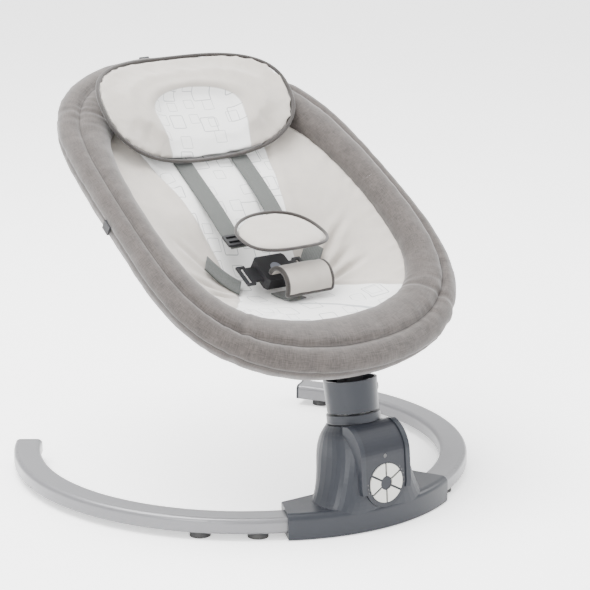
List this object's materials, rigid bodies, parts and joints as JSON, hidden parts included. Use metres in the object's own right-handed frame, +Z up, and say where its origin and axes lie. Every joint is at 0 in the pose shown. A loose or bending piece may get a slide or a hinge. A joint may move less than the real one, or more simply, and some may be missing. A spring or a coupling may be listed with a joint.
{
  "type": "baby swing",
  "caption": "electric baby swing with a C-shaped floor base, a motor hub with a round button panel, a leaning swing column and a reclining padded oval seat with a harness",
  "frame": {"origin": "on the floor under the middle of the swing's bounding box, seat centred", "axes": "+Z up from the floor, +Y from the foot end and hub to the head end, +X to the left of a child lying in the seat, across the swing; the base, the column and the seat frame are symmetric about X = 0, apart from the one recline button at +X, the parts inside the hub and the pads; names that end in left are at -X, which is on the left as seen from the hub"},
  "size_m": [0.5744, 0.5298, 0.503],
  "materials": {
    "silver_paint": "satin silver paint on steel tube",
    "slate_plastic": "satin slate-grey moulded plastic",
    "dark_plastic": "fine-textured black plastic",
    "button_plastic": "pale grey moulded plastic",
    "gear_plastic": "natural acetal",
    "rubber": "black non-slip rubber",
    "steel": "bare machined steel",
    "board": "green circuit board lacquer",
    "rim_fabric": "taupe melange woven cover over foam",
    "liner_fabric": "soft cream cotton jersey",
    "webbing": "sage-grey woven polyester webbing"
  },
  "bodies": {
    "root": {"base_tube_left": "silver_paint", "base_tube_right": "silver_paint", "tube_cap_left": "slate_plastic", "tube_cap_right": "slate_plastic", "rubber_feet": "rubber", "hub_housing": "slate_plastic", "hub_bottom_cover": "slate_plastic", "hub_screws": "steel", "front_panel": "slate_plastic", "led_lights": "dark_plastic", "ir_window": "dark_plastic", "control_board": "board", "speaker": "dark_plastic", "dc_jack": "dark_plastic", "collar_ring": "slate_plastic", "bearing_block": "steel", "bearing_upper": "steel", "bearing_lower": "steel", "drive_motor": "steel", "motor_bracket": "dark_plastic"},
    "swing_arm": {"spindle": "steel", "sector_gear": "gear_plastic", "spindle_nut": "steel", "swing_sleeve": "slate_plastic", "sleeve_hub": "dark_plastic"},
    "pinion": {"motor_pinion": "gear_plastic"},
    "seat": {"hinge_pin": "steel", "seat_carrier": "dark_plastic", "foot_frame_tube": "steel", "head_frame_tube": "steel", "frame_connectors": "dark_plastic", "seat_rim": "rim_fabric", "seat_sling": "liner_fabric", "head_cushion": "liner_fabric", "shoulder_strap_left": "webbing", "shoulder_strap_right": "webbing", "lap_strap_left": "webbing", "lap_strap_right": "webbing", "crotch_strap": "webbing", "belly_pad": "liner_fabric", "crotch_pad": "liner_fabric", "buckle_body": "dark_plastic", "tongue_left": "dark_plastic", "tongue_right": "dark_plastic", "strap_adjusters": "dark_plastic", "rim_clips": "dark_plastic"},
    "release": {"release_button": "slate_plastic"},
    "buckle_release": {"buckle_button": "slate_plastic"},
    "key_1": {"button_1": "button_plastic"},
    "key_2": {"button_2": "button_plastic"},
    "key_3": {"button_3": "button_plastic"},
    "key_4": {"button_4": "button_plastic"},
    "key_5": {"button_5": "button_plastic"},
    "key_6": {"button_6": "button_plastic"}
  },
  "joints": [
    {"name": "swing", "type": "hinge", "parent": "root", "child": "swing_arm", "pos_m": [0, -0.19756, 0.1229], "axis": [0, 0.1685, 0.9857], "range_deg": [-12, 12]},
    {"name": "motor_spin", "type": "hinge", "parent": "root", "child": "pinion", "pos_m": [0.032, -0.20683, 0.06869], "axis": [0, 0.1685, 0.9857], "range_deg": [-48.5, 48.5]},
    {"name": "recline", "type": "hinge", "parent": "swing_arm", "child": "seat", "pos_m": [0, -0.18779, 0.18007], "axis": [1, 0, 0], "range_deg": [-12, 0]},
    {"name": "release_press", "type": "slide", "parent": "swing_arm", "child": "release", "axis": [-1, 0, 0], "range_m": [0, 0.003], "stiffness_N_per_m": 300},
    {"name": "buckle_press", "type": "slide", "parent": "seat", "child": "buckle_release", "axis": [0, 0.521, -0.8536], "range_m": [0, 0.002], "stiffness_N_per_m": 500},
    {"name": "key_1_press", "type": "slide", "parent": "root", "child": "key_1", "axis": [0, 0.9976, -0.0698], "range_m": [0, 0.0012], "stiffness_N_per_m": 500},
    {"name": "key_2_press", "type": "slide", "parent": "root", "child": "key_2", "axis": [0, 0.9976, -0.0698], "range_m": [0, 0.0012], "stiffness_N_per_m": 500},
    {"name": "key_3_press", "type": "slide", "parent": "root", "child": "key_3", "axis": [0, 0.9976, -0.0698], "range_m": [0, 0.0012], "stiffness_N_per_m": 500},
    {"name": "key_4_press", "type": "slide", "parent": "root", "child": "key_4", "axis": [0, 0.9976, -0.0698], "range_m": [0, 0.0012], "stiffness_N_per_m": 500},
    {"name": "key_5_press", "type": "slide", "parent": "root", "child": "key_5", "axis": [0, 0.9976, -0.0698], "range_m": [0, 0.0012], "stiffness_N_per_m": 500},
    {"name": "key_6_press", "type": "slide", "parent": "root", "child": "key_6", "axis": [0, 0.9976, -0.0698], "range_m": [0, 0.0012], "stiffness_N_per_m": 500}
  ],
  "couplings": [
    {"joint": "motor_spin", "follows": "swing", "ratio": -4}
  ]
}
